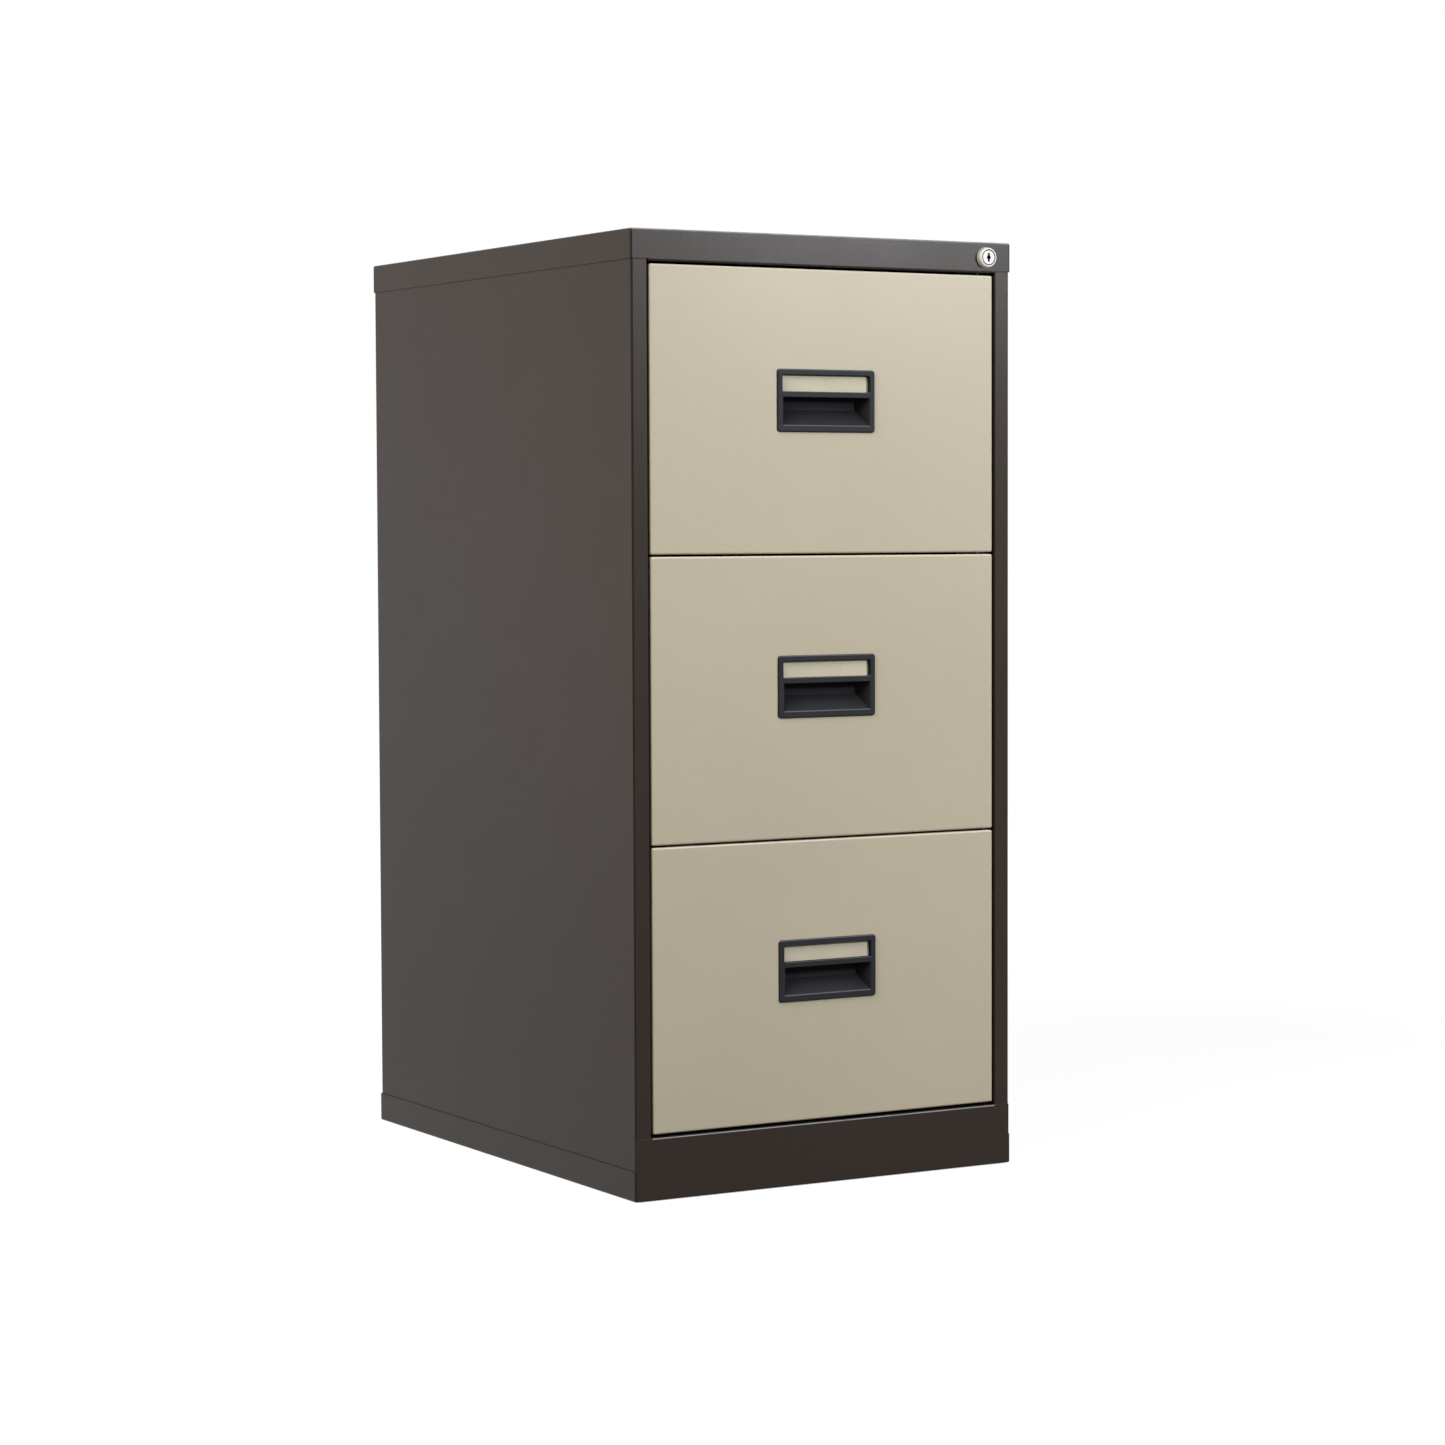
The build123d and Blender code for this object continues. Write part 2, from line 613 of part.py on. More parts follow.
def handle(number):
    """Moulded pull: card frame above, bar, then a pocket for the fingers."""
    half = HANDLE_WIDTH / 2 - HANDLE_BORDER
    crease_half = half - POCKET_DRAFT
    deep_half = crease_half - POCKET_DRAFT / CREASE_DEPTH * (POCKET_DEPTH - CREASE_DEPTH)
    plan = polygon([
        (-half, -HANDLE_PROUD),
        (half, -HANDLE_PROUD),
        (crease_half, CREASE_DEPTH - HANDLE_PROUD),
        (deep_half, POCKET_DEPTH - HANDLE_PROUD),
        (-deep_half, POCKET_DEPTH - HANDLE_PROUD),
        (-crease_half, CREASE_DEPTH - HANDLE_PROUD),
    ])
    profile = polygon(pocket_profile())
    pocket = sideways(profile, -half, half) & upward(plan, 0, HANDLE_HEIGHT)

    wall_profile = offset(profile, HANDLE_WALL, kind=Kind.INTERSECTION)
    wall_plan = offset(plan, HANDLE_WALL, kind=Kind.INTERSECTION)
    shell = sideways(wall_profile, -HANDLE_WIDTH / 2, HANDLE_WIDTH / 2)
    shell &= upward(wall_plan, 0, HANDLE_HEIGHT)
    shell &= span((-HANDLE_WIDTH, HANDLE_WIDTH), (-SHELL_LAP, FRONT_DEPTH), (0, HANDLE_HEIGHT))

    bezel = rearward(
        Pos(0, HANDLE_HEIGHT / 2) * RectangleRounded(HANDLE_WIDTH, HANDLE_HEIGHT, HANDLE_CORNER),
        -HANDLE_PROUD, 0,
    )
    bezel = fillet(bezel.faces().sort_by(Axis.Y)[0].edges(), HANDLE_ROUND)

    window_top = HANDLE_HEIGHT - HANDLE_BORDER
    window = (window_top - WINDOW_HEIGHT, window_top)
    recess_back = CARD_RECESS - HANDLE_PROUD
    tray = span(
        (-half - TRAY_WALL, half + TRAY_WALL),
        (-1, recess_back + TRAY_WALL),
        (window[0] - TRAY_WALL, window[1] + TRAY_WALL),
    )
    tab = (DRAWER_SHEET + CARD_CLEARANCE, DRAWER_SHEET + CARD_CLEARANCE + TAB_DEPTH)
    catch_half = HANDLE_WIDTH / 2 - HANDLE_LAP + TAB_LAP
    tabs = span((-catch_half, catch_half), tab, (window[1] - TAB_HEIGHT, window[1]))
    tabs -= span(
        (-half, half), (tab[0] - 1, tab[1] + 1), (window[1] - TAB_HEIGHT - 1, window[1] + 1)
    )

    body = bezel + shell + tray + tabs - pocket
    body -= Pos(0, 0, sum(window) / 2) * window_block(0, -HANDLE_PROUD - 1, recess_back)
    rims = body.faces().sort_by(Axis.Y)[0].inner_wires()
    body = fillet([edge for rim in rims for edge in rim.edges()], LIP_ROUND)
    return Pos(0, PANEL_FRONT, handle_foot(number)) * body


def label_card(number):
    back = CARD_RECESS - HANDLE_PROUD
    middle = handle_foot(number) + HANDLE_HEIGHT - HANDLE_BORDER - WINDOW_HEIGHT / 2
    return Pos(0, PANEL_FRONT, middle) * window_block(CARD_CLEARANCE, back - CARD_THICKNESS, back)


def lock_catch(number):
    """Angle on the drawer's right side that the raised lug stands in front of."""
    low = catch_foot(number)
    outline = [
        (BOX_HALF, CATCH_FRONT + CATCH_FLANGE),
        (BOX_HALF, CATCH_FRONT),
        (FRONT_HALF, CATCH_FRONT),
    ]
    return upward(folded(outline, CATCH_SHEET), low, low + CATCH_HEIGHT)


# ---------------------------------------------------------------- lock
def lock_barrel():
    """Tapered bezel on the skirt and a grooved body through it."""
    bezel = Cone(BEZEL_BASE, BEZEL_FACE, LOCK_PROUD, align=(Align.CENTER, Align.CENTER, Align.MIN))
    bezel = fillet(bezel.edges().sort_by(Axis.Z)[-1], BEZEL_ROUND)
    barrel = Pos(LOCK_X, FRONT, LOCK_Z) * Rot(X=90) * bezel
    barrel += forward_disc(BARREL_RADIUS, BARREL_BACK, FRONT)
    head_back = FRONT - LOCK_PROUD + PLUG_HEAD
    barrel -= forward_disc(PLUG_RADIUS + LOCK_FIT, head_back + LOCK_FIT, FRONT - LOCK_PROUD - 1)
    barrel -= forward_disc(SHAFT_RADIUS + LOCK_FIT, BARREL_BACK + 1, head_back - 1)
    groove = PANEL_FRONT + RAIL_SHEET
    for side in (-1, 1):
        inner = LOCK_X + side * (BARREL_RADIUS - CLIP_BITE)
        barrel -= span(
            (inner, LOCK_X + side * (BARREL_RADIUS + 1)),
            (groove, groove + CLIP_SHEET),
            (LOCK_Z - BARREL_RADIUS, LOCK_Z + BARREL_RADIUS),
        )
    mouth = barrel.faces().sort_by(Axis.Y)[0].inner_wires()[0]
    return chamfer(mouth.edges(), RING_CHAMFER)


def lock_clip():
    """Horseshoe spring clip behind the cross rail, slid up onto the barrel's grooves."""
    groove = PANEL_FRONT + RAIL_SHEET
    plate = span(
        (LOCK_X - CLIP_WIDTH / 2, LOCK_X + CLIP_WIDTH / 2),
        (groove, groove + CLIP_SHEET),
        (LOCK_Z - CLIP_LEG, LOCK_Z + BARREL_RADIUS + CLIP_BRIDGE),
    )
    slot = BARREL_RADIUS - CLIP_BITE
    arch = forward_disc(BARREL_RADIUS + LOCK_FIT, groove + 2 * CLIP_SHEET, groove - CLIP_SHEET)
    throat = span(
        (LOCK_X - slot, LOCK_X + slot),
        (groove - 1, groove + CLIP_SHEET + 1),
        (LOCK_Z - CLIP_LEG - 1, LOCK_Z),
    )
    flats = span(
        (LOCK_X - slot, LOCK_X + slot),
        (groove - 1, groove + CLIP_SHEET + 1),
        (LOCK_Z - BARREL_RADIUS, LOCK_Z + BARREL_RADIUS + LOCK_FIT),
    )
    return plate - (arch & flats) - throat


def crank_place():
    """Crank pin's axis with the lock open."""
    angle = radians(-QUARTER_TURN / 2)
    return LOCK_X + CRANK_RADIUS * cos(angle), LOCK_Z + CRANK_RADIUS * sin(angle)


def lock_plug():
    """Turning core with an upright keyway."""
    face = FRONT - LOCK_PROUD
    head_back = face + PLUG_HEAD
    plug = forward_disc(PLUG_RADIUS, head_back, face)
    plug = chamfer(plug.edges().sort_by(Axis.Y)[0], RING_CHAMFER)
    plug += forward_disc(SHAFT_RADIUS, CAM_FRONT, head_back - 1)
    slot_depth = (face - 1, face + KEYWAY_DEPTH)
    plug -= span(
        (LOCK_X - KEYWAY_WIDTH / 2, LOCK_X + KEYWAY_WIDTH / 2),
        slot_depth,
        (LOCK_Z - KEYWAY_HEIGHT / 2, LOCK_Z + KEYWAY_HEIGHT / 2),
    )
    return plug - forward_disc(KEYWAY_EYE, slot_depth[1], slot_depth[0])


def lock_cam():
    """Crank plate on the back of the core, with its pin."""
    pin_x, pin_z = crank_place()
    hub = Pos(LOCK_X, LOCK_Z) * Circle(CAM_HUB)
    end = Pos(pin_x, pin_z) * Circle(CAM_END)
    plate = rearward(make_hull((hub + end).edges()), CAM_FRONT, CAM_BACK)
    pin_back = FITTING_BACK + BAR_GAP / 2
    pin = Pos(pin_x, (CAM_BACK + pin_back) / 2, pin_z) * Rot(X=90)
    return plate + pin * Cylinder(CRANK_PIN, pin_back - CAM_BACK)


def yoke_half():
    """Half the height of the yoke around the crank pin."""
    return CRANK_PIN + PIN_PLAY + SLOT_WALL


def lock_bar():
    """Flat bar beside the drawers, from under the crank pin to below the lowest lug."""
    top = crank_place()[1] - yoke_half()
    foot = lug_top(DRAWERS) - LUG_HEIGHT - BAR_WIDTH
    return span((BAR_LEFT, BAR_RIGHT), (BAR_FRONT, BAR_BACK), (foot, top))


def lock_bar_fittings():
    """Slotted yoke for the crank pin and a lug for each drawer, welded behind the bar."""
    pin_x, pin_z = crank_place()
    reach = CRANK_PIN + PIN_PLAY
    slot = (pin_x - reach, LOCK_X + CRANK_RADIUS + reach)
    depth = (BAR_BACK, FITTING_BACK)
    low, high = pin_z - yoke_half(), pin_z + yoke_half()
    yoke = span((slot[0] - SLOT_WALL, BAR_RIGHT), depth, (low, high))
    yoke += span((BAR_LEFT, BAR_RIGHT), depth, (low - BAR_WIDTH, low))
    yoke -= span(slot, (BAR_BACK - 1, FITTING_BACK + 1), (pin_z - reach, pin_z + reach))
    fittings = [yoke]
    for number in range(1, DRAWERS + 1):
        top = lug_top(number)
        fittings.append(span((BAR_LEFT - LUG_REACH, BAR_RIGHT), depth, (top - LUG_HEIGHT, top)))
    return group(fittings)


def lock_bar_guides():
    """Straps on the front upright that hold the bar to it, one above each lug."""
    left, right = BAR_LEFT - GUIDE_CLEARANCE, BAR_RIGHT + GUIDE_CLEARANCE
    front = BAR_FRONT - GUIDE_CLEARANCE
    guides = []
    for number in range(1, DRAWERS + 1):
        low = lug_top(number) + GUIDE_RISE
        strap = span(
            (left - RAIL_SHEET / 2, right + GUIDE_SHEET),
            (front - GUIDE_SHEET, FRONT_UPRIGHT),
            (low, low + GUIDE_HEIGHT),
        )
        bay = span((left, right), (front, FRONT_UPRIGHT + 1), (low - 1, low + GUIDE_HEIGHT + 1))
        guides.append(strap - bay)
    return group(guides)


# ---------------------------------------------------------------- assembly
def model():
    left_panel = side_panel()
    parts = {
        "top_cap": top_cap(),
        "base_tray": base_tray(),
        "side_panel_left": left_panel,
        "side_panel_right": mirrored(left_panel),
        "back_panel": back_panel(),
        "back_rivets": back_rivets(),
        "uprights_front": group([upright(FRONT_UPRIGHT, left=True), upright(FRONT_UPRIGHT)]),
        "uprights_rear": group([upright(REAR_UPRIGHT, left=True), upright(REAR_UPRIGHT)]),
        "cross_rail": cross_rail(),
        "base_gussets": group(base_gussets()),
        "glides": glides(),
        "lock_barrel": lock_barrel(),
        "lock_clip": lock_clip(),
        "lock_bar_guides": lock_bar_guides(),
        "lock_plug": lock_plug(),
        "lock_cam": lock_cam(),
        "lock_bar": lock_bar(),
        "lock_bar_fittings": lock_bar_fittings(),
    }
    for number in range(1, DRAWERS + 1):
        drawer = f"drawer_{number}"
        parts[f"{drawer}_front"] = drawer_front(number)
        parts[f"{drawer}_liner"] = drawer_liner(number)
        parts[f"{drawer}_handle"] = handle(number)
        parts[f"{drawer}_card"] = label_card(number)
        parts[f"{drawer}_side_left"] = drawer_side(number, left=True)
        parts[f"{drawer}_side_right"] = drawer_side(number)
        parts[f"{drawer}_bottom"] = drawer_bottom(number)
        parts[f"{drawer}_back"] = drawer_back(number)
        parts[f"{drawer}_catch"] = lock_catch(number)
        parts[f"slide_outer_{number}"] = slide_outer(number)
        parts[f"slide_middle_{number}"] = slide_middle(number)
        parts[f"slide_inner_{number}"] = slide_inner(number)
        parts[f"cage_outer_{number}"] = cage_outer(number)
        parts[f"cage_inner_{number}"] = cage_inner(number)
    return parts


os.makedirs("parts", exist_ok=True)
for name, shape in model().items():
    export_step(shape, f"parts/{name}.step")
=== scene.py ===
import bpy
import json
from math import radians
from mathutils import Matrix, Vector

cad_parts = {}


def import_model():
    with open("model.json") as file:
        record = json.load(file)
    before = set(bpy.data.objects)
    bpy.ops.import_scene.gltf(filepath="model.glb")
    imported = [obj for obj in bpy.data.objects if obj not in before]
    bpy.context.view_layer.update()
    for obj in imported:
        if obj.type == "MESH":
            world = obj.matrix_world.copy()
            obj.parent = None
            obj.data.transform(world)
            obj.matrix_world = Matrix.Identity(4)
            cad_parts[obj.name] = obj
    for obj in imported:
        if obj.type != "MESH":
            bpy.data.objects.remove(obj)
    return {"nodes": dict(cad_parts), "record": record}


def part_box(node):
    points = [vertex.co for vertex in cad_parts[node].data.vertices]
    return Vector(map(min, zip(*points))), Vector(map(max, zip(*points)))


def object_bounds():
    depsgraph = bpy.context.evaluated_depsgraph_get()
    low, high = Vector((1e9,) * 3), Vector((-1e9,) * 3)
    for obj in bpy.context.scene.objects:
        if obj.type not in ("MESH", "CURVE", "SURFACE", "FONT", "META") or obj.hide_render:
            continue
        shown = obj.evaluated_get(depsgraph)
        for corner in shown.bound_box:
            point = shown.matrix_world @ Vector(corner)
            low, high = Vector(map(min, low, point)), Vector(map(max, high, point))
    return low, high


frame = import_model()
cad_box = [list(corner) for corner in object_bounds()]

# ---------------------------------------------------------------- view and light, in metres
CAMERA_AT = (-2.0265, -3.5921, 0.6966)
CAMERA_TURN = (-30.046, 86.925, -0.230)      # about Z, then the tilted X, then the view line
CAMERA_LENS = 91.18         # millimetres, on the sensor's width
SENSOR_WIDTH = 36.0
CAMERA_REACH = 100.0

AMBIENT = 0.02              # the room's light on the cabinet
WHITE = 1.0                 # the room as the camera and reflections see it
FLOOR_GLOW = 0.85           # beside the case, where the floor keeps a faint shadow
SHADOW_REACH = (1.2, 3.5)   # the floor's glow rises to 1 between these distances from the origin
GLOW_EDGE = (0.014, 0.002)  # inside the case's outline: where the glow starts, and where it is whole
FLOOR_HALF = 30.0
FLOOR_DROP = 0.0002         # keeps the floor just clear of the feet
FLOOR_LIT = 0.14            # the floor's grey for the light it throws back
FLOOR_SEEN = 0.27           # the floor's grey where it is seen, under its glow

AIM = (0.0, 0.0, 0.75)
# place, diameter, power and colour of each lamp
LAMPS = {
    "key": ((0.9, -2.0, 2.6), 1.4, 17.0, (0.95, 0.98, 1.12)),
    "front": ((1.45, -2.5, 1.5), 0.5, 56.0, (0.89, 0.93, 1.0)),
    "side": ((-2.4, -0.85, 2.4), 2.0, 108.0, (0.97, 0.99, 0.955)),
    "glance": ((-1.9, 2.6, 0.65), 1.2, 1.3, (1.0, 1.0, 1.0)),
    "rim": ((1.6, 2.6, 2.4), 1.6, 26.0, (1.0, 1.0, 1.0)),
}

# ---------------------------------------------------------------- colours and measures of the finishes
CASE_BROWN = (0.032, 0.0214, 0.0153)
# worn paint and the painted highlight on level folds share these lighter tones
CASE_RUBBED_AND_HIGHLIGHT = (0.24, 0.24, 0.245)
CREAM = (0.563, 0.491, 0.351)
CREAM_RUBBED_AND_HIGHLIGHT = (0.64, 0.58, 0.46)
ENAMEL_ROUGH = 0.31
ENAMEL_SPECULAR = 0.13
SCUFF_SHARE = 0.05
ZINC = (0.56, 0.57, 0.58)
ZINC_BLUE = (0.52, 0.55, 0.60)
ZINC_STRAW = (0.62, 0.60, 0.55)
PLASTIC = (0.024, 0.024, 0.026)
POCKET_REACH = 0.03         # how far off a wall the painted shade in the pocket still reaches
CARD = (0.650, 0.578, 0.420)
NICKEL = (0.62, 0.605, 0.575)
# duller, warmer tone painted on the flank as a warm reflection
FLANK_REFLECTION_TONE = (0.36, 0.345, 0.27)
# dark colour painted as shade in the keyway, the sunk core and the gap around it
KEYWAY_SHADE = (0.012, 0.011, 0.010)

# each pair gives where a mask starts to change and where it has changed fully, in metres
RIM_BEHIND = (0.0006, 0.0012)        # behind the pull's foremost face, where the painted lip highlight fades out
CORE_BEYOND = (0.0004, 0.0009)       # outside the lock core's radius
SUNK_DEPTH = (0.00005, 0.0003)       # behind the core's face
KEYWAY_SIDE = (0.0009, 0.0015)       # from the keyway's middle, sideways
KEYWAY_END = (0.0044, 0.0050)        # from the keyway's middle, up and down
KEYWAY_EYE = (0.0022, 0.0028)        # from the core's axis
RING_HALF = (0.0004, 0.0008)         # either side of the gap around the core
RING_OFFSET = 0.0001                 # the gap's middle, outside the core's radius
FLANK_DEPTH = (0.0012, 0.0040)       # behind the core's face, where the bezel's flank turns to its painted warm reflection tone


# ---------------------------------------------------------------- node helpers
class Nodes:
    """Adds nodes to one node tree and links them."""

    def __init__(self, tree):
        self.tree = tree
        self.tree.nodes.clear()

    def add(self, kind, **values):
        node = self.tree.nodes.new(kind)
        for key, value in values.items():
            setattr(node, key, value)
        return node

    def join(self, source, target):
        self.tree.links.new(source, target)

    def xyz(self, vector):
        """The vector's three parts."""
        split = self.add("ShaderNodeSeparateXYZ")
        self.join(vector, split.inputs[0])
        return split.outputs

    def ranged(self, value, low, high, to_low=0.0, to_high=1.0, curve="SMOOTHSTEP"):
        """From to_low at low to to_high at high, and level beyond them."""
        node = self.add("ShaderNodeMapRange", interpolation_type=curve)
        names = ("From Min", "From Max", "To Min", "To Max")
        for name, number in zip(names, (low, high, to_low, to_high)):
            node.inputs[name].default_value = number
        self.join(value, node.inputs["Value"])
        return node.outputs["Result"]

    def fading(self, value, near, far):
        """1 up to near, 0 from far on."""
        return self.ranged(value, near, far, 1.0, 0.0)

    def math(self, operation, first, second=0.0):
        """The operation on numbers or sockets. Those on one value leave the second out."""
        node = self.add("ShaderNodeMath", operation=operation)
        for socket, value in zip(node.inputs, (first, second)):
            if isinstance(value, (int, float)):
                socket.default_value = value
            else:
                self.join(value, socket)
        return node.outputs["Value"]


class Graph(Nodes):
    """A new material with a Principled shader, patterned in object coordinates."""

    def __init__(self, name):
        self.material = bpy.data.materials.new(name)
        self.material.use_nodes = True
        super().__init__(self.material.node_tree)
        out = self.add("ShaderNodeOutputMaterial")
        self.shader = self.add("ShaderNodeBsdfPrincipled")
        self.join(self.shader.outputs["BSDF"], out.inputs["Surface"])
        self.place = self.add("ShaderNodeTexCoord").outputs["Object"]

    def set(self, **values):
        """Fixed values on the shader's own sockets."""
        for key, value in values.items():
            self.shader.inputs[key.replace("_", " ")].default_value = value

    def colour(self, tint):
        self.join(tint, self.shader.inputs["Base Color"])

    def roughness(self, value):
        self.join(value, self.shader.inputs["Roughness"])

    def stretched(self, scale):
        node = self.add("ShaderNodeMapping")
        node.inputs["Scale"].default_value = scale
        self.join(self.place, node.inputs["Vector"])
        return node.outputs["Vector"]

    def noise(self, scale, detail, roughness, along=None):
        node = self.add("ShaderNodeTexNoise")
        node.inputs["Scale"].default_value = scale
        node.inputs["Detail"].default_value = detail
        node.inputs["Roughness"].default_value = roughness
        self.join(along or self.place, node.inputs["Vector"])
        return node.outputs["Fac"]

    def blend(self, share, first, second):
        """Colour between two colours, each a tuple or a socket."""
        node = self.add("ShaderNodeMix", data_type="RGBA")
        for socket, value in zip((node.inputs[6], node.inputs[7]), (first, second)):
            if isinstance(value, tuple):
                socket.default_value = (*value, 1.0)
            else:
                self.join(value, socket)
        self.join(share, node.inputs[0])
        return node.outputs[2]

    def bevelled(self, radius):
        """Normal as if the edges were rounded to this radius."""
        node = self.add("ShaderNodeBevel", samples=6)
        node.inputs["Radius"].default_value = radius
        return node.outputs["Normal"]

    def edges(self, radius):
        """Above 0 near sharp edges and folds, 0 on flat faces."""
        flat = self.add("ShaderNodeNewGeometry").outputs["Normal"]
        dot = self.add("ShaderNodeVectorMath", operation="DOT_PRODUCT")
        self.join(self.bevelled(radius), dot.inputs[0])
        self.join(flat, dot.inputs[1])
        return self.math("SUBTRACT", 1.0, dot.outputs["Value"])

    def folds(self):
        """Masks of three things: the rounds of upright folds, the rounds of level folds that face up
        and forwards, and level faces that look up."""
        x, y, z = self.xyz(self.add("ShaderNodeNewGeometry").outputs["Normal"])
        upright = self.math("ABSOLUTE", self.math("MULTIPLY", x, y))
        level = self.math("MULTIPLY", self.math("MULTIPLY", y, -1.0), z)
        rounds = [self.ranged(value, 0.08, 0.40) for value in (upright, level)]
        return *rounds, self.ranged(z, 0.90, 0.99)

    def relief(self, *layers, radius=0.0):
        """Bump from (height, distance) layers, over rounded edges where a radius is given."""
        normal = self.bevelled(radius) if radius else None
        for height, distance in layers:
            bump = self.add("ShaderNodeBump")
            bump.inputs["Distance"].default_value = distance
            self.join(height, bump.inputs["Height"])
            if normal:
                self.join(normal, bump.inputs["Normal"])
            normal = bump.outputs["Normal"]
        self.join(normal, self.shader.inputs["Normal"])


def shaded(colour, factor):
    return tuple(channel * factor for channel in colour)


# ---------------------------------------------------------------- finishes
def enamel(name, colour, rubbed_and_highlight, fold_shade):
    """Stoved enamel on sheet steel: fine texture, faint clouding, scuffs, dust on level faces, and
    worn edges. Upright folds get painted shade; level folds facing up get a painted highlight."""
    g = Graph(name)
    g.set(Specular_IOR_Level=ENAMEL_SPECULAR, Metallic=0.0)
    cloud = g.noise(scale=3.2, detail=4.0, roughness=0.6)
    grain = g.noise(scale=950.0, detail=2.0, roughness=0.6)
    scratch = g.noise(scale=26.0, detail=5.0, roughness=0.75, along=g.stretched((1.0, 1.0, 9.0)))
    patches = g.noise(scale=60.0, detail=4.0, roughness=0.7)
    gloss = g.noise(scale=14.0, detail=5.0, roughness=0.65)
    peel = g.noise(scale=520.0, detail=3.0, roughness=0.5)
    upright, level, top = g.folds()

    tint = g.blend(g.ranged(cloud, 0.3, 0.7), shaded(colour, 0.975), shaded(colour, 1.025))
    tint = g.blend(g.ranged(grain, 0.35, 0.65, 0.0, 0.35), tint, shaded(colour, 0.80))
    tint = g.blend(g.ranged(scratch, 0.66, 0.74, 0.0, SCUFF_SHARE), tint, rubbed_and_highlight)
    worn = g.math("MULTIPLY", g.ranged(g.edges(0.0011), 0.10, 0.35), patches)
    tint = g.blend(g.ranged(worn, 0.42, 0.62, 0.0, 0.55), tint, rubbed_and_highlight)
    # painted shade: rounds of upright folds darkened to fold_shade times the colour
    tint = g.blend(upright, tint, shaded(colour, fold_shade))
    # painted highlight, broken by the scratch pattern: level fold rounds facing up and forwards take
    # the lighter tone
    tint = g.blend(g.math("MULTIPLY", level, g.ranged(scratch, 0.2, 0.6, 0.5, 1.0)), tint, rubbed_and_highlight)
    g.colour(tint)

    polish = g.ranged(gloss, 0.3, 0.7, ENAMEL_ROUGH - 0.015, ENAMEL_ROUGH + 0.02)
    dust = g.math("MULTIPLY", top, g.ranged(cloud, 0.2, 0.8, 0.70, 0.84))
    g.roughness(g.math("MAXIMUM", polish, dust))
    g.relief((peel, 0.00007), (grain, 0.00003), radius=0.0007)
    return g.material


def zinc():
    """Bright zinc plate: drawing lines along the sheet, a faint blue and straw bloom."""
    g = Graph("zinc_steel")
    g.set(Metallic=1.0)
    bloom = g.noise(scale=18.0, detail=4.0, roughness=0.6)
    lines = g.noise(scale=420.0, detail=3.0, roughness=0.6, along=g.stretched((1.0, 0.04, 1.0)))
    tint = g.blend(g.ranged(bloom, 0.35, 0.65), ZINC_BLUE, ZINC_STRAW)
    g.colour(g.blend(g.ranged(lines, 0.4, 0.6, 0.0, 0.3), tint, shaded(ZINC, 0.7)))
    g.roughness(g.ranged(lines, 0.3, 0.7, 0.26, 0.42))
    g.relief((lines, 0.00004), radius=0.0004)
    return g.material


def plastic():
    """Moulded plastic: fine spark-eroded grain, a painted highlight on the lip, painted shade inside
    the pocket.
    """
    g = Graph("black_plastic")
    g.set(Specular_IOR_Level=0.08)
    grain = g.noise(scale=1500.0, detail=2.0, roughness=0.5)
    specks = g.noise(scale=40.0, detail=5.0, roughness=0.7)
    shut_in = g.add("ShaderNodeAmbientOcclusion", samples=8)
    shut_in.inputs["Distance"].default_value = POCKET_REACH
    deep = g.fading(shut_in.outputs["AO"], 0.65, 1.0)
    behind = g.math("SUBTRACT", g.xyz(g.place)["Y"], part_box("drawer_1_handle")[0][1])
    level = g.folds()[1]
    lip_highlight = g.math("MULTIPLY", g.fading(behind, *RIM_BEHIND), level)

    tint = g.blend(g.ranged(specks, 0.45, 0.75, 0.0, 0.5), PLASTIC, shaded(PLASTIC, 1.25))
    # painted shade: the colour darkens where the pocket's walls close in
    tint = g.blend(deep, tint, shaded(PLASTIC, 0.45))
    # painted highlight: level rims facing up and forwards, near the front face, turn much lighter
    g.colour(g.blend(lip_highlight, tint, shaded(PLASTIC, 4.0)))
    g.roughness(g.ranged(deep, 0.0, 1.0, 0.46, 0.75))
    g.relief((grain, 0.00005), radius=0.0005)
    return g.material


def paper():
    """Uncoated card with short fibres and faint clouding."""
    g = Graph("card")
    g.set(Specular_IOR_Level=0.2, Roughness=0.9)
    fibre = g.noise(scale=700.0, detail=4.0, roughness=0.7, along=g.stretched((0.35, 1.0, 1.0)))
    cloud = g.noise(scale=30.0, detail=3.0, roughness=0.5)
    tint = g.blend(g.ranged(cloud, 0.3, 0.7), shaded(CARD, 0.96), shaded(CARD, 1.03))
    g.colour(g.blend(g.ranged(fibre, 0.4, 0.7, 0.0, 0.3), tint, shaded(CARD, 0.86)))
    g.relief((fibre, 0.00004))
    return g.material


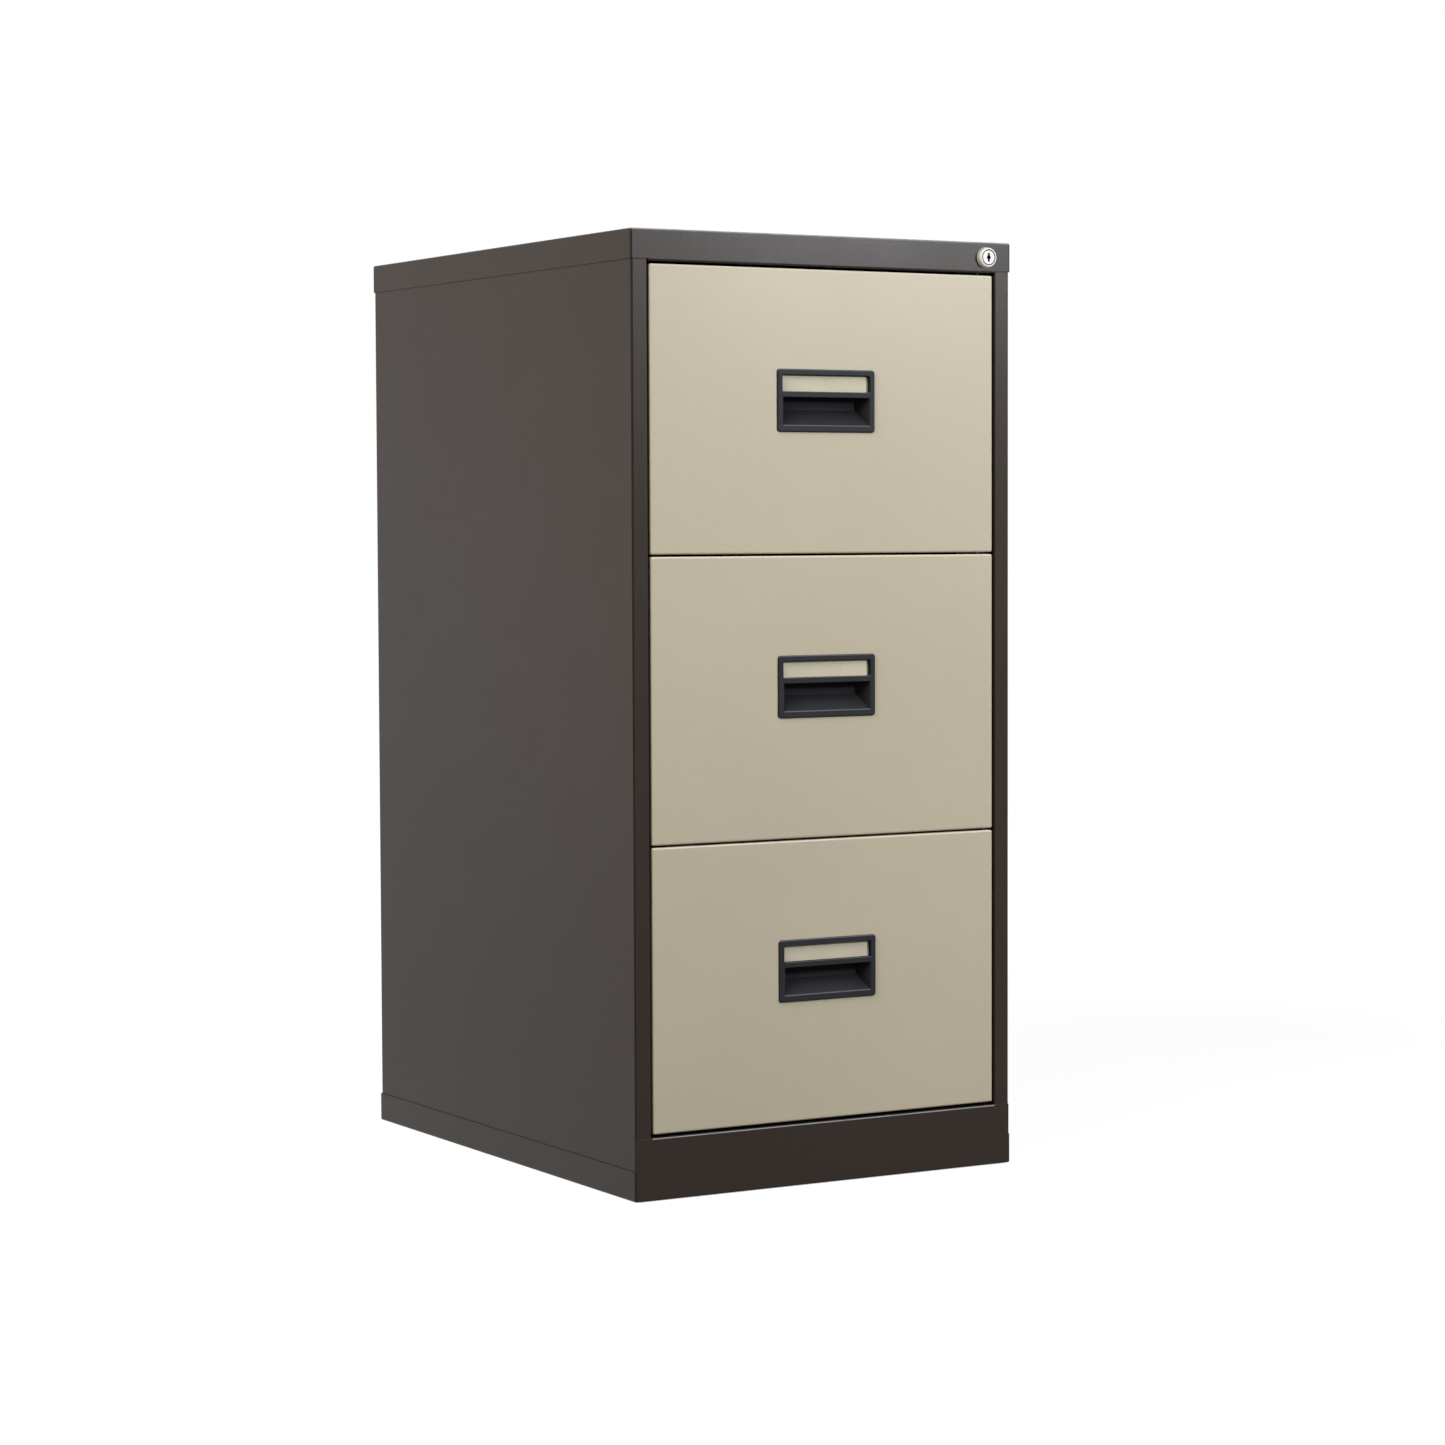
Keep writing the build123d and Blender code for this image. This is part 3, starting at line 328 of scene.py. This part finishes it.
def nickel():
    """Nickel plate with polishing marks; painted shade in keyway and core gap; painted warm flank tone.
    """
    g = Graph("lock_nickel")
    g.set(Metallic=0.7)
    low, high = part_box("lock_plug")
    radius = (high[0] - low[0]) / 2
    x, y, z = g.xyz(g.place)
    across = g.math("SUBTRACT", x, (low[0] + high[0]) / 2)
    up = g.math("SUBTRACT", z, (low[2] + high[2]) / 2)
    depth = g.math("SUBTRACT", y, low[1])
    squares = g.math("ADD", g.math("POWER", across, 2.0), g.math("POWER", up, 2.0))
    from_axis = g.math("SQRT", squares)

    beyond_start, beyond_end = CORE_BEYOND
    within = g.fading(from_axis, radius + beyond_start, radius + beyond_end)
    sunk = g.math("MULTIPLY", within, g.ranged(depth, *SUNK_DEPTH))
    beside = g.fading(g.math("ABSOLUTE", across), *KEYWAY_SIDE)
    slot = g.math("MULTIPLY", beside, g.fading(g.math("ABSOLUTE", up), *KEYWAY_END))
    keyhole = g.math("MAXIMUM", slot, g.fading(from_axis, *KEYWAY_EYE))
    off_ring = g.math("ABSOLUTE", g.math("SUBTRACT", from_axis, radius + RING_OFFSET))
    ring = g.ranged(off_ring, *RING_HALF, 0.7, 0.0)
    # painted shade: the keyway, the sunk core and the gap around it are made dark
    painted_shade = g.math("MAXIMUM", sunk, g.math("MAXIMUM", keyhole, ring))

    marks = g.noise(scale=900.0, detail=3.0, roughness=0.6, along=g.stretched((1.0, 1.0, 0.12)))
    bloom = g.noise(scale=120.0, detail=4.0, roughness=0.6)
    plate = g.blend(g.ranged(bloom, 0.35, 0.7), NICKEL, shaded(NICKEL, 0.93))
    # painted reflection: the flank behind the face takes a duller, warmer tone
    plate = g.blend(g.ranged(depth, *FLANK_DEPTH), plate, FLANK_REFLECTION_TONE)
    g.colour(g.blend(painted_shade, plate, KEYWAY_SHADE))
    g.roughness(g.math("MAXIMUM", g.ranged(marks, 0.3, 0.7, 0.70, 0.80), painted_shade))
    g.relief((marks, 0.000008), radius=0.0003)
    return g.material


FINISHES = {
    "case_paint": enamel("case_paint", CASE_BROWN, CASE_RUBBED_AND_HIGHLIGHT, fold_shade=0.4),
    "drawer_paint": enamel("drawer_paint", CREAM, CREAM_RUBBED_AND_HIGHLIGHT, fold_shade=0.9),
    "zinc_steel": zinc(),
    "black_plastic": plastic(),
    "card": paper(),
    "lock_nickel": nickel(),
}


def dress():
    """Every CAD node takes the finish of its record slot."""
    for part in frame["record"]["subparts"]:
        node = frame["nodes"][part["node"]]
        finish = FINISHES[part["material_slot"]]
        if not node.material_slots:
            node.data.materials.append(finish)
        for slot in node.material_slots:
            slot.material = finish


# ---------------------------------------------------------------- stage
def grey(level):
    return (level, level, level, 1.0)


def seen_directly(nodes):
    """1 for rays that show the background: from the camera, or by reflection or through glass."""
    path = nodes.add("ShaderNodeLightPath")
    total = path.outputs["Is Camera Ray"]
    for name in ("Is Glossy Ray", "Is Transmission Ray"):
        total = nodes.math("MAXIMUM", total, path.outputs[name])
    return total


def mixed(nodes, lighting, seen):
    """One shader for the rays that light the scene, another for those that show the background."""
    mix = nodes.add("ShaderNodeMixShader")
    nodes.join(seen_directly(nodes), mix.inputs[0])
    nodes.join(lighting, mix.inputs[1])
    nodes.join(seen, mix.inputs[2])
    return mix.outputs[0]


def world():
    made = bpy.data.worlds.new("studio")
    made.use_nodes = True
    nodes = Nodes(made.node_tree)
    shades = []
    for strength in (AMBIENT, WHITE):
        node = nodes.add("ShaderNodeBackground")
        node.inputs["Strength"].default_value = strength
        node.inputs["Color"].default_value = grey(1.0)
        shades.append(node.outputs[0])
    out = nodes.add("ShaderNodeOutputWorld")
    nodes.join(mixed(nodes, *shades), out.inputs[0])
    bpy.context.scene.world = made


def floor_glow(nodes):
    """The floor's own brightness: none under the case, FLOOR_GLOW beside it, 1 far away."""
    place = nodes.add("ShaderNodeTexCoord").outputs["Object"]
    across = nodes.xyz(place)
    starts, whole = GLOW_EDGE
    outside = []
    for axis in (0, 1):
        low, high = cad_box[0][axis], cad_box[1][axis]
        centre, half = (low + high) / 2, (high - low) / 2
        off = nodes.math("ABSOLUTE", nodes.math("SUBTRACT", across[axis], centre))
        outside.append(nodes.ranged(off, half - starts, half - whole, curve="LINEAR"))
    length = nodes.add("ShaderNodeVectorMath", operation="LENGTH")
    nodes.join(place, length.inputs[0])
    rise = nodes.ranged(length.outputs["Value"], *SHADOW_REACH, FLOOR_GLOW, 1.0, curve="LINEAR")
    return nodes.math("MULTIPLY", nodes.math("MAXIMUM", *outside), rise)


def floor():
    """Pale floor that reads white to the camera and keeps a faint shadow by the case."""
    signs = ((-1, -1), (1, -1), (1, 1), (-1, 1))
    mesh = bpy.data.meshes.new("floor")
    corners = [(x * FLOOR_HALF, y * FLOOR_HALF, -FLOOR_DROP) for x, y in signs]
    mesh.from_pydata(corners, [], [(0, 1, 2, 3)])
    slab = bpy.data.objects.new("floor", mesh)
    bpy.context.scene.collection.objects.link(slab)
    finish = bpy.data.materials.new("floor")
    finish.use_nodes = True
    nodes = Nodes(finish.node_tree)
    plain = nodes.add("ShaderNodeBsdfDiffuse")
    plain.inputs["Color"].default_value = grey(FLOOR_LIT)
    pale = nodes.add("ShaderNodeBsdfDiffuse")
    pale.inputs["Color"].default_value = grey(FLOOR_SEEN)
    glow = nodes.add("ShaderNodeEmission")
    nodes.join(floor_glow(nodes), glow.inputs["Strength"])
    both = nodes.add("ShaderNodeAddShader")
    nodes.join(pale.outputs[0], both.inputs[0])
    nodes.join(glow.outputs[0], both.inputs[1])
    out = nodes.add("ShaderNodeOutputMaterial")
    nodes.join(mixed(nodes, plain.outputs[0], both.outputs[0]), out.inputs["Surface"])
    mesh.materials.append(finish)


def lamp(name, at, size, power, colour):
    data = bpy.data.lights.new(name, "AREA")
    data.shape = "DISK"
    data.size = size
    data.energy = power
    data.color = colour
    made = bpy.data.objects.new(name, data)
    made.location = at
    made.rotation_euler = (Vector(AIM) - Vector(at)).to_track_quat("-Z", "Y").to_euler()
    bpy.context.scene.collection.objects.link(made)


def camera():
    data = bpy.data.cameras.new("camera")
    data.lens = CAMERA_LENS
    data.sensor_fit = "HORIZONTAL"
    data.sensor_width = SENSOR_WIDTH
    data.clip_end = CAMERA_REACH
    made = bpy.data.objects.new("camera", data)
    turn, tilt, roll = (radians(angle) for angle in CAMERA_TURN)
    made.matrix_world = (
        Matrix.Translation(CAMERA_AT)
        @ Matrix.Rotation(turn, 4, "Z")
        @ Matrix.Rotation(tilt, 4, "X")
        @ Matrix.Rotation(roll, 4, "Z")
    )
    bpy.context.scene.collection.objects.link(made)
    bpy.context.scene.camera = made


dress()
world()
floor()
for name, values in LAMPS.items():
    lamp(name, *values)
camera()
bpy.context.scene.view_settings.view_transform = "Standard"
